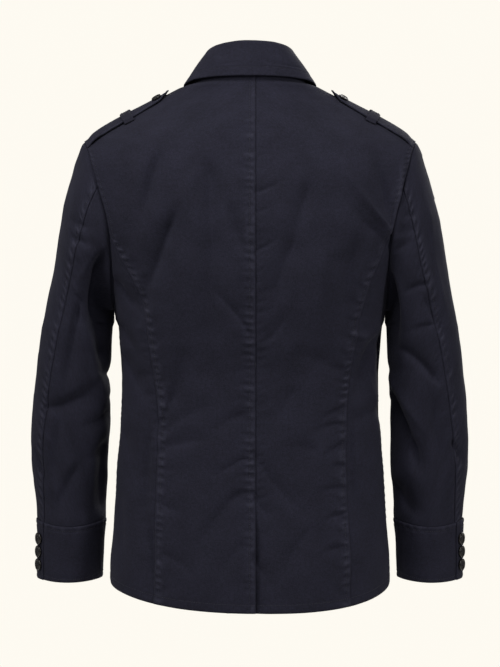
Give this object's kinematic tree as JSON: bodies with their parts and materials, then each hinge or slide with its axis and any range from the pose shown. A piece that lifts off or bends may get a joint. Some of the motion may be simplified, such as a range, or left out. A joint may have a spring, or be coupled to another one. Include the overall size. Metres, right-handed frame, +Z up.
{
  "type": "field jacket",
  "caption": "Hip-length field jacket in worn hollow form, with turned-down collar, shoulder straps, buttoned front, cuff bands and back vent.",
  "frame": {"origin": "middle of the neck at the height of the side neck points, where the wearer's shoulders carry the jacket", "axes": "+Z up, the jacket faces -Y, +X is the wearer's left"},
  "size_m": [0.5966, 0.2552, 0.7586],
  "materials": {
    "navy_twill": "garment-washed cotton twill, matt with a faint sheen",
    "horn_button": "polished dark horn"
  },
  "bodies": {
    "root": {"back_left": "navy_twill", "back_right": "navy_twill", "collar_fall": "navy_twill", "collar_stand": "navy_twill", "cuff_button_left_1": "horn_button", "cuff_button_left_2": "horn_button", "cuff_button_left_3": "horn_button", "cuff_button_right_1": "horn_button", "cuff_button_right_2": "horn_button", "cuff_button_right_3": "horn_button", "cuff_left": "navy_twill", "cuff_right": "navy_twill", "epaulette_button_left": "horn_button", "epaulette_button_right": "horn_button", "epaulette_left": "navy_twill", "epaulette_loop_left": "navy_twill", "epaulette_loop_right": "navy_twill", "epaulette_right": "navy_twill", "front_button_1": "horn_button", "front_button_2": "horn_button", "front_button_3": "horn_button", "front_button_4": "horn_button", "front_button_5": "horn_button", "front_left": "navy_twill", "front_right": "navy_twill", "side_back_left": "navy_twill", "side_back_right": "navy_twill", "top_sleeve_left": "navy_twill", "top_sleeve_right": "navy_twill", "under_sleeve_left": "navy_twill", "under_sleeve_right": "navy_twill"}
  },
  "joints": []
}
